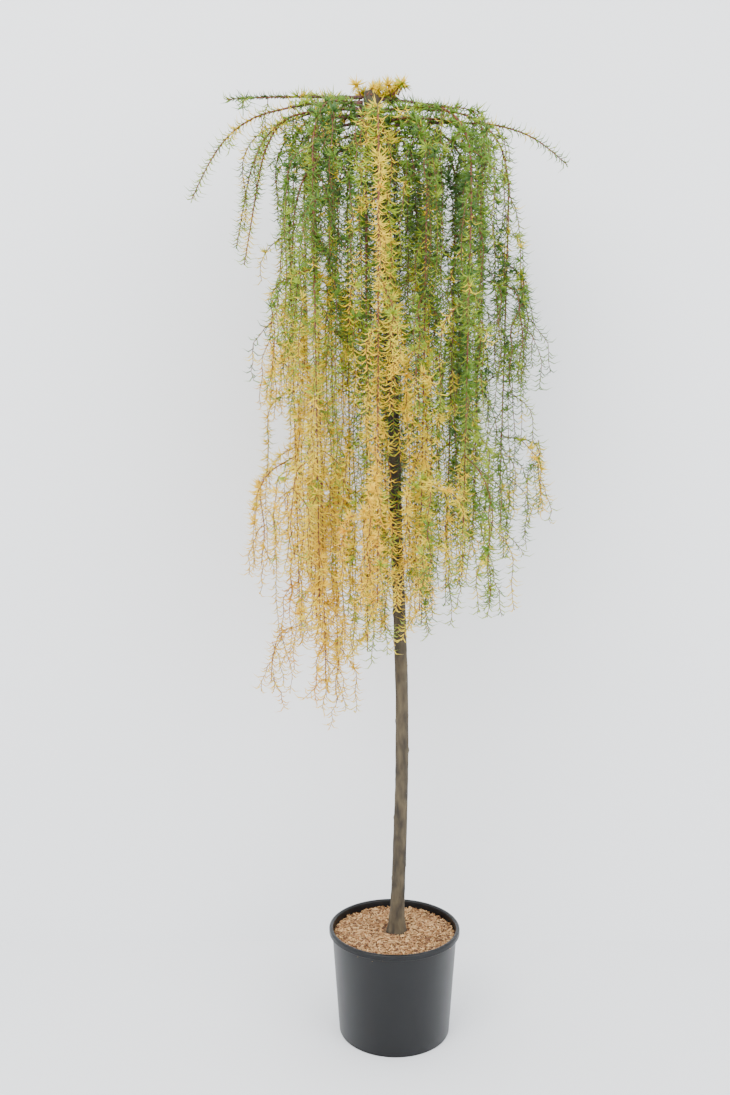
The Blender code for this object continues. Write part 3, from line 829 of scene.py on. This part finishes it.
def make_mulch(materials):
    """Loose fibres and chips of mulch heaped over the soil."""
    chance = random.Random(SEED)
    stores = [([], []) for _ in materials]
    for _ in range(MULCH_COUNT):
        radius = MULCH_RADIUS * math.sqrt(chance.random())
        swing = chance.uniform(0, 2 * math.pi)
        if radius < trunk_radius(SOIL_LEVEL) + MULCH_TRUNK_GAP:
            continue
        level = SOIL_LEVEL - (SOIL_LEVEL - SOIL_EDGE_LEVEL) * radius / SOIL_RADIUS
        level += chance.uniform(0.0, MULCH_HEAP)
        centre = np.array((radius * math.cos(swing), radius * math.sin(swing), level))
        way = heading(chance.uniform(0, 360), chance.uniform(-MULCH_TILT, MULCH_TILT))
        length = chance.uniform(*MULCH_LENGTH)
        thick = chance.uniform(*MULCH_THICKNESS)
        bend = heading(chance.uniform(0, 360), 0) * length * MULCH_BEND
        path = [centre - way * length / 2, centre + bend, centre + way * length / 2]
        store = stores[chance.choices(range(len(materials)), MULCH_SHARES)[0]]
        tube(*store, path, [thick * share for share in MULCH_TAPER], MULCH_SIDES)
    for index, (points, faces) in enumerate(stores):
        piece = mesh_piece(f"mulch_{index + 1}", points, faces, materials[index], smooth=False)


def make_stage():
    """Pale floor and backdrop, soft light and the camera."""
    pale = new_material("studio_white", STAGE_COLOUR, 0.8)
    wide = STAGE_REACH
    back = BACKDROP_AT
    tall = BACKDROP_HEIGHT
    for name, corners in (
        ("floor", ((-wide, -wide, 0), (wide, -wide, 0), (wide, back, 0), (-wide, back, 0))),
        ("backdrop", ((-wide, back, 0), (wide, back, 0), (wide, back, tall), (-wide, back, tall))),
    ):
        mesh = bpy.data.meshes.new(name)
        mesh.from_pydata(corners, [], [(0, 1, 2, 3)])
        mesh.materials.append(pale)
        item = bpy.data.objects.new(name, mesh)
        bpy.context.scene.collection.objects.link(item)
    world = bpy.data.worlds.new("studio")
    world.use_nodes = True
    world.node_tree.nodes["Background"].inputs["Color"].default_value = SKY_COLOUR
    world.node_tree.nodes["Background"].inputs["Strength"].default_value = SKY_STRENGTH
    bpy.context.scene.world = world
    for name, place, size, power in LAMPS:
        lamp = bpy.data.lights.new(name, "AREA")
        lamp.size = size
        lamp.energy = power
        item = bpy.data.objects.new(name, lamp)
        item.location = place
        item.rotation_euler = (Vector(LAMP_TARGET) - Vector(place)).to_track_quat("-Z", "Y").to_euler()
        bpy.context.scene.collection.objects.link(item)
    camera = bpy.data.cameras.new("camera")
    camera.lens = CAMERA_LENS
    camera.sensor_width = CAMERA_SENSOR
    item = bpy.data.objects.new("camera", camera)
    item.location = CAMERA_PLACE
    item.rotation_euler = (math.radians(90 - CAMERA_DROP), 0.0, 0.0)
    bpy.context.scene.collection.objects.link(item)
    bpy.context.scene.camera = item


def main():
    """Dress the frame."""
    even = (1.0, 1.0, 1.0)
    bark = new_material("trunk_bark", (0.2, 0.15, 0.1), 0.85)
    add_relief(bark, 60.0, (1.0, 1.0, 0.35), ((0.016, 0.011, 0.006), (0.085, 0.064, 0.034)), 0.5, 0.002)
    bough_bark = new_material("bough_bark", (0.12, 0.05, 0.04), 0.6)
    add_relief(bough_bark, 150.0, even, ((0.032, 0.010, 0.007), (0.110, 0.038, 0.024)), 0.4, 0.001)
    twig_bark = new_material("twig_bark", (0.24, 0.085, 0.045), 0.55)
    add_relief(twig_bark, 120.0, even, ((0.070, 0.016, 0.008), (0.220, 0.065, 0.025)), 0.2, 0.0005)
    pot_plastic = new_material("pot_plastic", (0.03, 0.033, 0.04), 0.38)
    pot_tones = ((0.0018, 0.0020, 0.0026), (0.0036, 0.0040, 0.0050))
    add_relief(pot_plastic, 9.0, (1.0, 1.0, 0.4), pot_tones, 0.05, 0.0005)
    pot_plastic.node_tree.nodes["Principled BSDF"].inputs["Specular IOR Level"].default_value = 0.3
    mulches = []
    for name, dark, light in (
        ("mulch_tan", (0.42, 0.235, 0.095), (0.66, 0.43, 0.20)),
        ("mulch_brown", (0.25, 0.115, 0.045), (0.46, 0.25, 0.10)),
        ("mulch_dark", (0.075, 0.035, 0.018), (0.19, 0.085, 0.04)),
    ):
        material = new_material(name, dark, 0.9)
        add_relief(material, 260.0, even, (dark, light), 0.4, 0.0008)
        mulches.append(material)
    soil = new_material("soil_bed", (0.1, 0.05, 0.02), 0.95)
    add_relief(soil, 180.0, even, ((0.05, 0.025, 0.012), (0.26, 0.14, 0.06)), 0.6, 0.003)
    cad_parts["soil"].data.materials.clear()
    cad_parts["soil"].data.materials.append(soil)
    make_pot(pot_plastic)
    make_mulch(mulches)
    make_trunk(bark)
    make_crown(bough_bark, twig_bark)
    make_stage()


main()
